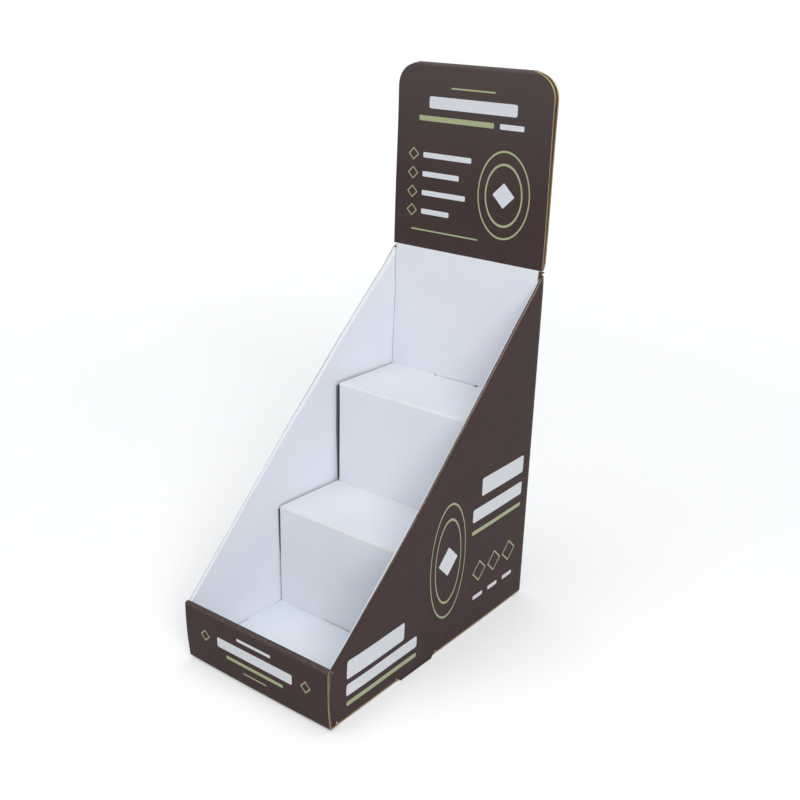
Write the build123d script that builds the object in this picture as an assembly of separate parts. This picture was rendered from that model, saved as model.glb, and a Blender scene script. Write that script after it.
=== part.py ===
"""Cardboard counter display stand: a folded tray with a tall header, and a folded two-step insert.

Millimetres. X runs across the stand, Y from the front to the back, Z up.
The origin is on the table, in the middle of the stand's outline seen from above.
"""
import os

from build123d import *

# Corrugated board and how it folds
board = 1.5
layer_gap = 0.2
crease_radius = 0.8
least_crease_turn = 0.5
lug_clearance = 0.3
panel_clearance = 0.5
cut_overrun = 2.0

# Outer sizes of the tray
stand_width = 110.0
stand_depth = 184.5
front_height = 37.0
slope_start_rise = 0.6

# Header, with the neck that joins it to the back panel and to the white liner
overall_height = 319.5
header_shoulder_height = 211.2
shoulder_slit = 2.0
side_peak_drop = 2.9
header_inset = 2.3
header_corner_radius = 13.0
header_lean = 2.0
neck_clearance = 1.3

# Steps
insert_clearance = 2.8
floor_depth = 71.5
lower_tread_depth = 52.6
lower_rise = 64.5
upper_rise = 64.2

# Tab at the back of the upper tread, and the relief cuts at its two ends
tread_tab_width = 28.0
relief_width = 3.0
relief_depth = 1.2

# Tab of each outer side wall, folded under the base
side_tab_centre_share = 0.406
side_tab_width = 29.0
side_tab_taper = 2.6
side_tab_reach = 16.0

# Lugs that stand in slots of the base
liner_lug_width = 24.0
liner_lug_spacing = 56.0
roll_lug_width = 20.0
roll_lug_spacing = 56.0
wall_lug_width = 20.0
wall_lug_centre_shares = (0.195, 0.78)
riser_lug_width = 28.0

# Worked out from the sizes above
double_wall = 2 * board + layer_gap
base_underside = board
base_top = base_underside + board
foot_height = base_top + layer_gap
half_width = stand_width / 2
inner_half_width = half_width - double_wall
front_y = -(stand_depth + header_lean) / 2
back_y = front_y + stand_depth
liner_y = back_y - double_wall
back_shoulder_height = header_shoulder_height - shoulder_slit
side_peak_height = header_shoulder_height - side_peak_drop
header_width = stand_width - 2 * header_inset
neck_width = 2 * (inner_half_width - neck_clearance)
insert_width = 2 * (inner_half_width - insert_clearance)
side_tab_front = front_y + side_tab_centre_share * stand_depth - side_tab_width / 2
roll_panel_width = 2 * (inner_half_width - panel_clearance)
lower_riser_y = front_y + double_wall + floor_depth
upper_riser_y = lower_riser_y + lower_tread_depth
lower_step_height = base_top + lower_rise
upper_step_height = lower_step_height + upper_rise


def side_points(route, shift):
    """The route's points moved sideways by shift, to the left of the way it runs."""
    points = [Vector(*point) for point in route]
    normals = []
    for start, end in zip(points, points[1:]):
        along = (end - start).normalized()
        normals.append(Vector(-along.Y, along.X))
    corners = [(a + b) / (1 + a.dot(b)) for a, b in zip(normals, normals[1:])]
    moves = [normals[0], *corners, normals[-1]]
    return [point + move * shift for point, move in zip(points, moves)]


def crease_radii(route, left_side):
    """A radius for each corner on one side of the sheet: round outside a crease, sharp inside."""
    points = [Vector(*point) for point in route]
    radii = []
    for before, here, after in zip(points, points[1:], points[2:]):
        turn = (here - before).normalized().cross((after - here).normalized()).Z
        is_crease = abs(turn) > least_crease_turn
        is_outside = (turn < 0) == left_side
        radii.append(crease_radius if is_crease and is_outside else 0)
    return radii


def folded_strip(route, width):
    """A strip of board that follows the middle of its thickness in the YZ plane."""
    left = side_points(route, board / 2)
    right = side_points(route, -board / 2)
    left_radii = [0, *crease_radii(route, True), 0]
    right_radii = [0, *crease_radii(route, False), 0]
    outline = FilletPolyline(*left, *right[::-1], radius=left_radii + right_radii[::-1], close=True)
    return extrude(Plane.YZ * make_face(outline), amount=width / 2, both=True)


def block(x_range, y_range, z_range):
    """A box between two values on each axis."""
    low = Vector(x_range[0], y_range[0], z_range[0])
    size = Vector(x_range[1], y_range[1], z_range[1]) - low
    return Pos(low) * Box(*size, align=(Align.MIN, Align.MIN, Align.MIN))


def centred_block(x_middle, width, y_range, z_range):
    """A box of one width about x_middle."""
    return block((x_middle - width / 2, x_middle + width / 2), y_range, z_range)


def pair(spacing):
    """The two places of a pair that stands about the middle."""
    return (-spacing / 2, spacing / 2)


def lug_and_slot(x_middle, width, y_front, bottom):
    """An upright lug of board at y_front, and the slot in the base that it stands in."""
    lug = centred_block(x_middle, width, (y_front, y_front + board), (bottom, foot_height))
    slot = centred_block(
        x_middle,
        width + 2 * lug_clearance,
        (y_front - layer_gap, y_front + board + layer_gap),
        (base_underside - cut_overrun, base_top),
    )
    return lug, slot


def front_base_and_back():
    """The rolled front wall, the base and the back panel, as one run of board."""
    roll_y = front_y + double_wall - board / 2
    route = [
        (roll_y, foot_height),
        (roll_y, front_height - board / 2),
        (front_y + board / 2, front_height - board / 2),
        (front_y + board / 2, base_underside + board / 2),
        (back_y - board / 2, base_underside + board / 2),
        (back_y - board / 2, back_shoulder_height),
    ]
    strip = folded_strip(route, stand_width)
    # The inner front panel is narrower, to fit between the side walls.
    for side in (-1, 1):
        edge = roll_panel_width / 2
        beyond = half_width + cut_overrun
        strip -= block(
            sorted((side * edge, side * beyond)),
            (front_y + board + layer_gap / 2, front_y + double_wall + cut_overrun),
            (foot_height, front_height - board),
        )
    return strip


def header_and_liner():
    """The neck, the doubled header and the liner in front of the back panel, as one run of board."""
    top = overall_height - board / 2
    back_face = back_y - board / 2
    front_face = liner_y + board / 2
    route = [
        (back_face, back_shoulder_height),
        (back_face, header_shoulder_height),
        (back_face + header_lean, top),
        (front_face, top),
        (front_face, foot_height),
    ]
    run = folded_strip(route, header_width)
    header_height = overall_height - header_shoulder_height
    header = Pos(0, header_shoulder_height + header_height / 2) * Rectangle(header_width, header_height)
    header = fillet(header.vertices().group_by(Axis.Y)[-1], radius=header_corner_radius)
    neck_height = header_shoulder_height - foot_height
    neck = Pos(0, foot_height + neck_height / 2) * Rectangle(neck_width, neck_height)
    outline = Plane.XZ * (header + neck)
    return run & extrude(outline, amount=stand_depth, both=True)


def side_wall(side):
    """A doubled side wall, rolled over along its slope, with its tab under the base."""
    wall_front = front_y + board + layer_gap
    slope_front = front_y + double_wall + layer_gap
    under_roll = front_height - board - layer_gap
    slope_foot = front_height + slope_start_rise
    outer_face = side * half_width
    outline = [
        (wall_front, foot_height),
        (wall_front, under_roll),
        (slope_front, under_roll),
        (slope_front, slope_foot),
        (back_y, side_peak_height),
        (back_y, foot_height),
    ]
    wall = extrude(Plane.YZ * make_face(Polyline(*outline, close=True)), amount=-side * double_wall)
    wall = Pos(outer_face, 0, 0) * wall
    creases = wall.edges().filter_by(lambda edge: edge.length > stand_depth).group_by(Axis.Z)[-1]
    wall = fillet(creases, radius=crease_radius)
    # The air between the two layers stops one board short of the slope.
    slope = (Vector(back_y, side_peak_height) - Vector(slope_front, slope_foot)).normalized()
    drop = board / slope.X
    gap_outline = [
        (wall_front - cut_overrun, base_top - cut_overrun),
        (wall_front - cut_overrun, under_roll - board),
        (slope_front + board, under_roll - board),
        (slope_front + board, slope_foot - drop + board * slope.Y / slope.X),
        (back_y - board, side_peak_height - drop - board * slope.Y / slope.X),
        (back_y - board, base_top - cut_overrun),
    ]
    gap = extrude(Plane.YZ * make_face(Polyline(*gap_outline, close=True)), amount=-side * layer_gap)
    wall -= Pos(side * (half_width - board), 0, 0) * gap
    # The inner layer stops in front of the back panel.
    inner_edge = half_width - board
    wall -= block(
        sorted((side * inner_edge, side * (inner_half_width - cut_overrun))),
        (back_y - board - layer_gap, back_y + cut_overrun),
        (base_top - cut_overrun, side_peak_height + cut_overrun),
    )
    return wall


def side_tab(side):
    """The tab of an outer side wall: down through a notch in the base, then inward beneath it."""
    front = side_tab_front
    back = front + side_tab_width
    upright = [
        (front - side_tab_taper, foot_height),
        (front, 0),
        (back, 0),
        (back + side_tab_taper, foot_height),
    ]
    drop = extrude(Plane.YZ * make_face(Polyline(*upright, close=True)), amount=-side * board)
    tip = side * (half_width - side_tab_reach)
    face = side * half_width
    flap = [
        (face, front),
        (tip, front + side_tab_taper),
        (tip, back - side_tab_taper),
        (face, back),
    ]
    flat = extrude(make_face(Polyline(*flap, close=True)), amount=board)
    tab = Pos(face, 0, 0) * drop + flat
    crease = tab.edges().filter_by(Axis.Y).group_by(Axis.Z)[0].sort_by(Axis.X)[-1 if side > 0 else 0]
    return fillet(crease, radius=crease_radius)


def base_notch(side):
    """The notch in the base's side that lets the tab through."""
    front = side_tab_front - side_tab_taper - lug_clearance
    back = front + side_tab_width + 2 * (side_tab_taper + lug_clearance)
    depth = half_width - board - lug_clearance
    return block(
        sorted((side * depth, side * (half_width + cut_overrun))),
        (front, back),
        (base_underside - cut_overrun, base_top),
    )


def tray_lugs_and_slots():
    """Every lug of the tray with its slot: liner, rolled front and inner side layers."""
    places = []
    for x_middle in pair(liner_lug_spacing):
        places.append(lug_and_slot(x_middle, liner_lug_width, liner_y, 0))
    for x_middle in pair(roll_lug_spacing):
        y_front = front_y + double_wall - board
        places.append(lug_and_slot(x_middle, roll_lug_width, y_front, base_underside))
    for side in (-1, 1):
        inner_layer = sorted((side * inner_half_width, side * (inner_half_width + board)))
        slot_width = sorted((side * (inner_half_width - lug_clearance), side * (half_width - board)))
        for centre_share in wall_lug_centre_shares:
            start = front_y + centre_share * stand_depth - wall_lug_width / 2
            end = start + wall_lug_width
            lug = block(inner_layer, (start, end), (base_underside, foot_height))
            slot = block(
                slot_width,
                (start - lug_clearance, end + lug_clearance),
                (base_underside - cut_overrun, base_top),
            )
            places.append((lug, slot))
    return places


def tread_slot():
    """The slot in the liner for the upper tread's tab."""
    return centred_block(
        0,
        tread_tab_width + 2 * lug_clearance,
        (liner_y - cut_overrun, liner_y + board + layer_gap / 2),
        (upper_step_height - board - lug_clearance, upper_step_height + lug_clearance),
    )


def rear_fold_trim(side):
    """What the round rear fold of a side wall takes off the square corner."""
    x_centre = side * (half_width - crease_radius)
    y_centre = back_y - crease_radius
    height = header_shoulder_height - base_top
    corner = block(
        sorted((x_centre, side * (half_width + cut_overrun))),
        (y_centre, back_y + cut_overrun),
        (base_top, base_top + height),
    )
    fold = Cylinder(crease_radius, height, align=(Align.CENTER, Align.CENTER, Align.MIN))
    return corner - Pos(x_centre, y_centre, base_top) * fold


def display_tray():
    """The tray, its header and its liner, folded from one sheet."""
    tray = front_base_and_back()
    places = tray_lugs_and_slots()
    places.append(lug_and_slot(0, riser_lug_width, lower_riser_y, base_underside))
    for _, slot in places:
        tray -= slot
    for side in (-1, 1):
        tray -= base_notch(side)
    tray += header_and_liner()
    for lug, _ in places[:-1]:
        tray += lug
    for side in (-1, 1):
        tray += side_wall(side)
        tray += side_tab(side)
    tray -= tread_slot()
    for side in (-1, 1):
        tray -= rear_fold_trim(side)
    return tray


def step_insert():
    """The two steps: riser, tread, riser and tread, folded from one sheet."""
    route = [
        (liner_y - layer_gap, upper_step_height - board / 2),
        (upper_riser_y + board / 2, upper_step_height - board / 2),
        (upper_riser_y + board / 2, lower_step_height - board / 2),
        (lower_riser_y + board / 2, lower_step_height - board / 2),
        (lower_riser_y + board / 2, base_top),
    ]
    steps = folded_strip(route, insert_width)
    tread = (upper_step_height - board, upper_step_height)
    steps += centred_block(0, tread_tab_width, (liner_y - layer_gap, liner_y + board), tread)
    for side in (-1, 1):
        root = tread_tab_width / 2
        steps -= block(
            sorted((side * root, side * (root + relief_width))),
            (liner_y - layer_gap - relief_depth, liner_y + cut_overrun),
            tread,
        )
    lug, _ = lug_and_slot(0, riser_lug_width, lower_riser_y, base_underside)
    return steps + lug


os.makedirs("parts", exist_ok=True)
export_step(display_tray(), "parts/display_tray.step")
export_step(step_insert(), "parts/step_insert.step")
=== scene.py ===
"""Looks of a folded cardboard counter display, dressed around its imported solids.

Sheet sizes are in millimetres and in the stand's own frame: x across, y from the
front face to the back, z up from the table. They become metres in one place, metres().
"""
import math
from collections import Counter

import bmesh
import bpy
import numpy as np
from mathutils import Matrix, Vector, noise
from mathutils.geometry import delaunay_2d_cdt


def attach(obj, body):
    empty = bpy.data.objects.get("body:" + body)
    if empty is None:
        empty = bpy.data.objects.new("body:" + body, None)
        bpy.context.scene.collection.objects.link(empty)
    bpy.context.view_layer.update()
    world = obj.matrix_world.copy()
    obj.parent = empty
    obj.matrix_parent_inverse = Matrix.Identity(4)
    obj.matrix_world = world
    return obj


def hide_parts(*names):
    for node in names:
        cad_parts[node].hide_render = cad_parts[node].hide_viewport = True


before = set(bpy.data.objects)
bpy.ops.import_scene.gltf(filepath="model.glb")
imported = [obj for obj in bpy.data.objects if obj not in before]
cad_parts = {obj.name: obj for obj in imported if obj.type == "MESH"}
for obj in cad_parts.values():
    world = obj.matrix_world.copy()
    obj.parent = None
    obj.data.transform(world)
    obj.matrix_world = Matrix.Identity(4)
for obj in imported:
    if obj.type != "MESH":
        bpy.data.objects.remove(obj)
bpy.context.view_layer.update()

# The stand's sizes, as the solids have them
BOARD = 1.5
HALF = BOARD / 2
LAYER_GAP = 0.2
DEPTH = 184.5
FRONT_Y = -93.25
HALF_WIDTH = 55.0
BASE_TOP = 3.0
FOOT = BASE_TOP + LAYER_GAP
FRONT_TOP = 37.0
SHOULDER = 211.2
BACK_SHOULDER = 210.0
TOP = 319.5
LEAN = 2.0
HEADER_HALF = 52.7
NECK_HALF = 50.5
LINER_Y = DEPTH - 2 * BOARD - LAYER_GAP

# The board itself: its liners, how far the fluted medium lies back at a cut, the pitch of its
# flutes, and the least radius that a fold's inner side is crushed to
LINER = 0.2
RECESS = 0.16
FLUTE = 3.4
CRUSHED = 0.06

# What keeps the sheets within the solids' box
BOX_HALF_WIDTH = 54.97
LEAST_Y = 0.02
LEAST_GAP = 0.01

# Where the stand in the photograph leaves the solids' straight lines
HEADER_SHIFT = 1.86
HEADER_FLARE = 0.0077
HEADER_SWAY = 0.35
HEADER_HOLLOW = 0.35
FLOOR_RISE = 1.9
FLOOR_FOOT = FOOT + FLOOR_RISE
LEFT_FLOOR_RISE = 0.9
SETTLING = 0.6
REAR_BOW = 0.9
FRONT_BELLY = 0.5
FRONT_HALF = 52
FRONT_PINCH = 0.2
WALL_UNEVEN = 0.3
WALL_POWER = 0.85
LEFT_SPLAY = 1.5
TAB_SPREAD = 0.8
PANEL_SWELL = 0.35
PANEL_HOLLOW = 0.25


def metres(x, y, z):
    """A point of the stand in the row's frame."""
    return (x / 1000, (y + FRONT_Y) / 1000, z / 1000)


def unit(v):
    return v / np.linalg.norm(v)


def eased(table, at):
    """A smooth curve through the table's points, flat beyond its ends."""
    xs = [p[0] for p in table]
    ys = [p[1] for p in table]
    if at <= xs[0]:
        return ys[0]
    if at >= xs[-1]:
        return ys[-1]
    i = max(k for k in range(len(xs)) if xs[k] <= at)
    slopes = np.gradient(ys, xs)
    h = xs[i + 1] - xs[i]
    s = (at - xs[i]) / h
    h00 = 2 * s**3 - 3 * s**2 + 1
    h10 = s**3 - 2 * s**2 + s
    h01 = 3 * s**2 - 2 * s**3
    h11 = s**3 - s**2
    return h00 * ys[i] + h10 * h * slopes[i] + h01 * ys[i + 1] + h11 * h * slopes[i + 1]


def step(low, high, at):
    """0 below low, 1 above high, and a smooth rise between them."""
    s = min(1.0, max(0.0, (at - low) / (high - low)))
    return s * s * (3 - 2 * s)


def ripple(a, b, seed, size=38.0):
    """A slow unevenness of a panel, about -1 to 1."""
    return noise.noise(Vector((a / size + seed, b / size - seed, seed * 0.37)))


class Path:
    """Straight runs joined by arcs, followed by length. The folds of a sheet seen end on."""

    def __init__(self, points, radii):
        points = [np.array(p, float) for p in points]
        self.runs = []
        self.bends = []
        self.length = 0.0
        here = points[0]
        for i in range(1, len(points)):
            along = unit(points[i] - points[i - 1])
            radius, turn, trim = 0.0, 0.0, 0.0
            if i < len(points) - 1:
                onward = unit(points[i + 1] - points[i])
                cross = along[0] * onward[1] - along[1] * onward[0]
                turn = math.atan2(cross, along @ onward)
                radius = radii[i - 1]
                trim = radius * math.tan(abs(turn) / 2)
            end = points[i] - along * trim
            self._add(here, along, np.linalg.norm(end - here), 0.0)
            here = end
            if trim:
                self.bends.append((self.length, self.length + radius * abs(turn)))
                self._add(here, along, radius * abs(turn), math.copysign(1 / radius, turn))
                here = points[i] + onward * trim

    def _add(self, start, along, length, curvature):
        self.runs.append((self.length, start, along, curvature))
        self.length += length

    def at(self, b, w):
        """The point at length b and w to the right of the way there. A bend's inner side is crushed."""
        i = max([k for k in range(len(self.runs)) if self.runs[k][0] <= b], default=0)
        begin, start, along, curvature = self.runs[i]
        d = b - begin
        left = np.array((-along[1], along[0]))
        if not curvature:
            return start + along * d - left * w
        turn = d * curvature
        centre = start + left / curvature
        spin = np.array(((math.cos(turn), -math.sin(turn)), (math.sin(turn), math.cos(turn))))
        room = abs(1 / curvature) - CRUSHED
        w = max(w, -room) if curvature > 0 else min(w, room)
        return centre + spin @ (start - centre) - spin @ left * w


def bend_lines(bends, pieces=8):
    """Lengths at which a sheet is divided so that its bends are round."""
    near, far, cuts = 0.35, 1.4, []
    for low, high in bends:
        cuts += list(np.linspace(low, high, pieces + 1))
        cuts += [low - near, low - far, high + near, high + far]
    return cuts


def spaced(low, high, gap):
    """Places from low to high, about gap apart."""
    return list(np.linspace(low, high, max(2, int(abs(high - low) / gap) + 1)))


def rounded(cx, cy, half_w, half_h, radius, turn=0.0):
    """A rectangle with round corners, as a loop of points."""
    steps = 8
    radius = min(radius, half_w, half_h)
    loop = []
    for k, (sx, sy) in enumerate(((1, 1), (-1, 1), (-1, -1), (1, -1))):
        for j in range(steps + 1):
            angle = math.pi / 2 * (k + j / steps)
            px = sx * (half_w - radius) + radius * math.cos(angle)
            py = sy * (half_h - radius) + radius * math.sin(angle)
            loop.append((px, py))
    c, s = math.cos(turn), math.sin(turn)
    points = [(cx + x * c - y * s, cy + x * s + y * c) for x, y in loop]
    return [p for i, p in enumerate(points) if math.dist(p, points[i - 1]) > 10 * MERGE]


def oval(cx, cy, half_w, half_h):
    """An ellipse as a loop of points."""
    steps = 56
    angles = [2 * math.pi * k / steps for k in range(steps)]
    return [(cx + half_w * math.cos(a), cy + half_h * math.sin(a)) for a in angles]


# The levels through the board, the ones between which the medium lies, and the bands of a cut
# edge between the levels, from the outer face to the inner one
LEVELS = (HALF, HALF - LINER, HALF - LINER, LINER - HALF, LINER - HALF, -HALF)
MEDIUM_LEVELS = (2, 3)
EDGE_BANDS = ("liner_cut", "liner_cut", "medium", "inner_cut", "inner_cut")
# Points nearer than MERGE become one, and no face has a side shorter than NO_LENGTH
MERGE = 1e-4
NO_LENGTH = 1e-6
SHARP = math.radians(32)


def build_sheet(name, outline, place, materials, regions, holes, lines, wear, flute=None, lining=None):
    """One sheet of board: its outline in the flat, bent by place(a, b, w).

    w runs through the board, from -HALF on the inner side to HALF on the outer one.
    regions are (material, loop) on the outer side, the later ones on top. lines divide the
    sheet where it bends. wear(a, b, w) is how worn a place is, and flute(a, b) where it lies
    across and along the flutes. The inner side is of the material that lining(a, b) names,
    and kraft without it.
    """
    flat, edges, loops = [], [], []

    def add_loop(points):
        area = sum(p[0] * q[1] - q[0] * p[1] for p, q in zip(points, points[1:] + points[:1]))
        loops.append(list(range(len(flat), len(flat) + len(points))))
        flat.extend(Vector(p) for p in (points if area > 0 else points[::-1]))

    add_loop(outline)
    for hole in holes:
        add_loop(hole)
    for _, loop in regions:
        add_loop(loop)
    for start, end in lines:
        edges.append((len(flat), len(flat) + 1))
        flat.extend((Vector(start), Vector(end)))
    points, _, faces, _, _, sources = delaunay_2d_cdt(flat, edges, loops, 0, MERGE, True)
    first_region = 1 + len(holes)
    kept = []
    for face, source in zip(faces, sources):
        if 0 not in source or any(1 <= k < first_region for k in source):
            continue
        chosen = [k for k in source if k >= first_region]
        colour = regions[max(chosen) - first_region][0] if chosen else "print"
        if any((points[face[i - 1]] - points[face[i]]).length < NO_LENGTH for i in range(3)):
            continue
        middle = (points[face[0]] + points[face[1]] + points[face[2]]) / 3
        kept.append((list(face), colour, lining(*middle) if lining else "kraft"))

    # The border is every edge that only one kept face has.
    around = [(face[i - 1], face[i]) for face, _, _ in kept for i in range(len(face))]
    count = Counter(tuple(sorted(edge)) for edge in around)
    border = [edge for edge in around if count[tuple(sorted(edge))] == 1]
    inward = {}
    for start, end in border:
        along = (points[end] - points[start]).normalized()
        side = Vector((-along.y, along.x))
        for p in (start, end):
            inward[p] = inward.get(p, Vector((0, 0))) + side

    verts, sheet, worn, index = [], [], [], {}

    def vertex(p, level):
        if (p, level) not in index:
            a, b = points[p]
            w = LEVELS[level]
            if level in MEDIUM_LEVELS:
                move = inward[p].normalized() * RECESS
                a, b = a + move.x, b + move.y
            index[(p, level)] = len(verts)
            verts.append(metres(*place(a, b, w)))
            across, along = flute(a, b) if flute else (a, b)
            sheet.append((across, along, w))
            worn.append(wear(a, b, w))
        return index[(p, level)]

    slots = list(materials)
    polygons, slot_of = [], []
    for face, colour, inner in kept:
        polygons.append([vertex(p, 0) for p in face])
        slot_of.append(slots.index(colour))
        polygons.append([vertex(p, len(LEVELS) - 1) for p in reversed(face)])
        slot_of.append(slots.index(inner))
    for start, end in border:
        for level, band in enumerate(EDGE_BANDS):
            polygons.append([vertex(start, level + 1), vertex(end, level + 1),
                             vertex(end, level), vertex(start, level)][::-1])
            slot_of.append(slots.index(band))

    mesh = bpy.data.meshes.new(name)
    mesh.from_pydata(verts, [], polygons)
    mesh.attributes.new("sheet", "FLOAT_VECTOR", "POINT").data.foreach_set(
        "vector", np.array(sheet, np.float32).ravel())
    mesh.attributes.new("worn", "FLOAT", "POINT").data.foreach_set(
        "value", np.array(worn, np.float32))
    for slot in slots:
        mesh.materials.append(materials[slot])
    mesh.polygons.foreach_set("material_index", slot_of)
    bm = bmesh.new()
    bm.from_mesh(mesh)
    bmesh.ops.recalc_face_normals(bm, faces=bm.faces)
    for face in bm.faces:
        face.smooth = True
    for edge in bm.edges:
        if len(edge.link_faces) == 2 and edge.calc_face_angle(0) > SHARP:
            edge.smooth = False
    bm.to_mesh(mesh)
    bm.free()
    made = bpy.data.objects.new(name, mesh)
    bpy.context.scene.collection.objects.link(made)
    return made


# ---- materials -------------------------------------------------------------

class Tree:
    """A short way to wire nodes."""

    def __init__(self, owner):
        owner.use_nodes = True
        self.tree = owner.node_tree

    def put(self, kind, values=(), **settings):
        """A node with its settings, and its inputs by number or name, each a value or a link."""
        node = self.tree.nodes.new(kind)
        for key, value in settings.items():
            setattr(node, key, value)
        for i, value in dict(values).items():
            if isinstance(value, bpy.types.NodeSocket):
                self.tree.links.new(value, node.inputs[i])
            else:
                node.inputs[i].default_value = value
        return node

    def math(self, operation, a, b=0.0):
        return self.put("ShaderNodeMath", {0: a, 1: b}, operation=operation).outputs[0]

    def seen(self):
        """1 for what the camera sees, straight or in gloss or through glass."""
        rays = self.put("ShaderNodeLightPath").outputs
        through = self.math("MAXIMUM", rays["Is Glossy Ray"], rays["Is Transmission Ray"])
        return self.math("MAXIMUM", rays["Is Camera Ray"], through)


class Nodes(Tree):
    """One material's nodes, round its shader."""

    def __init__(self, name, roughness, specular):
        self.material = bpy.data.materials.new(name)
        super().__init__(self.material)
        self.shader = self.tree.nodes["Principled BSDF"]
        self.shader.inputs["Roughness"].default_value = roughness
        self.shader.inputs["Specular IOR Level"].default_value = specular

    def attribute(self, name):
        return self.put("ShaderNodeAttribute", attribute_name=name).outputs

    def place(self):
        """Where a point lies on the object, in metres."""
        return self.put("ShaderNodeTexCoord").outputs["Object"]

    def height(self):
        return self.put("ShaderNodeSeparateXYZ", {0: self.place()}).outputs[2]

    def flutes(self):
        """The wave of the flutes, -1 to 1, and how far through the board, in millimetres."""
        sheet = self.put("ShaderNodeSeparateXYZ", {0: self.attribute("sheet")["Vector"]}).outputs
        return self.math("SINE", self.math("MULTIPLY", sheet[0], 2 * math.pi / FLUTE)), sheet[2]

    def noise(self, scale, detail, roughness=0.55):
        made = self.put("ShaderNodeTexNoise", {"Vector": self.place(), "Scale": scale,
                                               "Detail": detail, "Roughness": roughness})
        return made.outputs["Fac"]

    def mix(self, factor, a, b):
        """One colour or the other by a factor, which with the colours is a value or a link."""
        a, b = [c if isinstance(c, bpy.types.NodeSocket) else (*c, 1) for c in (a, b)]
        return self.put("ShaderNodeMix", {0: factor, 6: a, 7: b}, data_type="RGBA").outputs[2]

    def span(self, value, low, high, to_low=0.0, to_high=1.0, smooth=False):
        """The value taken from the range low to high to the range to_low to to_high."""
        made = self.put("ShaderNodeMapRange", {0: value, 1: low, 2: high, 3: to_low, 4: to_high})
        made.interpolation_type = "SMOOTHSTEP" if smooth else "LINEAR"
        return made.outputs[0]

    def into(self, socket, value):
        self.tree.links.new(value, self.shader.inputs[socket])

    def bump(self, height, distance, strength, normal=None):
        values = {"Height": height, "Distance": distance, "Strength": strength}
        if normal is not None:
            values["Normal"] = normal
        return self.put("ShaderNodeBump", values).outputs[0]


def srgb(r, g, b):
    """A colour given as 0 to 255, made linear."""
    def linear(v):
        v /= 255
        return v / 12.92 if v <= 0.04045 else ((v + 0.055) / 1.055) ** 2.4
    return (linear(r), linear(g), linear(b))


def paper_relief(n, washboard=1.0, fibre=1.0):
    """The relief of a lined board: faint ribs over the flutes, fibres, and slow unevenness."""
    slow = n.bump(n.noise(26.0, 2.0), 0.00035, 0.35)
    ribbed = n.bump(n.flutes()[0], 0.000004 * washboard, 1.0, slow)
    return n.bump(n.noise(1500.0, 4.0, 0.7), 0.00002 * fibre, 0.55, ribbed)


def shaded(colour, share):
    return [c * share for c in colour]


def printed(name, colour, worn_colour):
    """A dark flood print, paler where the folds have worn it, and a little paler high on the header,
    where that is a painted sheen.
    """
    n = Nodes(name, 0.54, 0.08)
    mottle = n.noise(95.0, 5.0, 0.6)
    grain = n.noise(2600.0, 3.0, 0.7)
    tone = n.mix(n.span(mottle, 0.35, 0.7), shaded(colour, 0.93), shaded(colour, 1.07))
    tone = n.mix(n.span(grain, 0.42, 0.72, 0.0, 0.35), tone, [c * 1.3 + 0.004 for c in colour])
    # Painted sheen: the print turns lighter towards the header's top, standing in for light the lamps
    # don't give there.
    tone = n.mix(n.span(n.height(), 0.245, 0.32), tone, [c + 0.026 for c in colour])
    worn = n.attribute("worn")["Fac"]
    rubbed = n.math("MULTIPLY", worn, n.span(n.noise(420.0, 4.0, 0.65), 0.3, 0.7, 0.25, 1.0))
    n.into("Base Color", n.mix(rubbed, tone, worn_colour))
    n.into("Roughness", n.span(grain, 0.3, 0.7, 0.49, 0.62))
    n.into("Normal", paper_relief(n))
    return n.material


def white_paper(name, colour, rubbed=srgb(236, 232, 224)):
    """White-lined board: a cool white with fibres, warmer where it folds."""
    n = Nodes(name, 0.55, 0.25)
    cloud = n.noise(34.0, 4.0, 0.55)
    fibres = n.noise(1900.0, 4.0, 0.7)
    tone = n.mix(n.span(cloud, 0.3, 0.7), shaded(colour, 0.975), colour)
    tone = n.mix(n.span(fibres, 0.5, 0.8, 0.0, 0.22), tone, shaded(colour, 0.9))
    worn = n.attribute("worn")["Fac"]
    n.into("Base Color", n.mix(worn, tone, rubbed))
    n.into("Roughness", n.span(fibres, 0.3, 0.7, 0.49, 0.65))
    n.into("Normal", paper_relief(n, 0.9))
    return n.material


def ink(name, colour):
    """A flat ink on the print, with the board's own relief and a slight mottle."""
    n = Nodes(name, 0.44, 0.25)
    mottle = n.noise(900.0, 3.0, 0.6)
    n.into("Base Color", n.mix(n.span(mottle, 0.3, 0.75), colour, shaded(colour, 0.9)))
    n.into("Roughness", n.span(mottle, 0.3, 0.7, 0.38, 0.48))
    n.into("Normal", paper_relief(n))
    return n.material


def paler_at_top(n, tone):
    """A cut edge's tone, paler where it runs round the header's top corners."""
    return n.mix(n.span(n.height(), 0.3, 0.313, 0.0, 0.8), tone, srgb(214, 196, 158))


def medium(name):
    """The fluted sheet between the liners, where a cut goes through it, with the hollows between the
    flutes painted dark as painted shade.
    """
    n = Nodes(name, 0.85, 0.2)
    wave, through = n.flutes()
    off = n.math("ABSOLUTE", n.math("SUBTRACT", through, n.math("MULTIPLY", wave, 0.42)))
    ragged = n.span(n.noise(900.0, 3.0), 0.3, 0.7, -0.1, 0.1)
    paper = n.span(n.math("ADD", off, ragged), 0.16, 0.4, 1.0, 0.0, True)
    fibre = n.noise(1600.0, 4.0, 0.7)
    blotch = n.noise(230.0, 3.0, 0.6)
    tone = n.mix(n.span(fibre, 0.3, 0.7), srgb(158, 136, 102), srgb(198, 176, 140))
    tone = n.mix(n.span(blotch, 0.3, 0.7, 0.0, 0.4), tone, srgb(122, 98, 68))
    # Painted shade: the hollows between the flutes take a dark brown.
    n.into("Base Color", paler_at_top(n, n.mix(paper, srgb(104, 80, 54), tone)))
    n.into("Normal", n.bump(paper, 0.0002, 0.8, n.bump(fibre, 0.00004, 0.6)))
    return n.material


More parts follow.
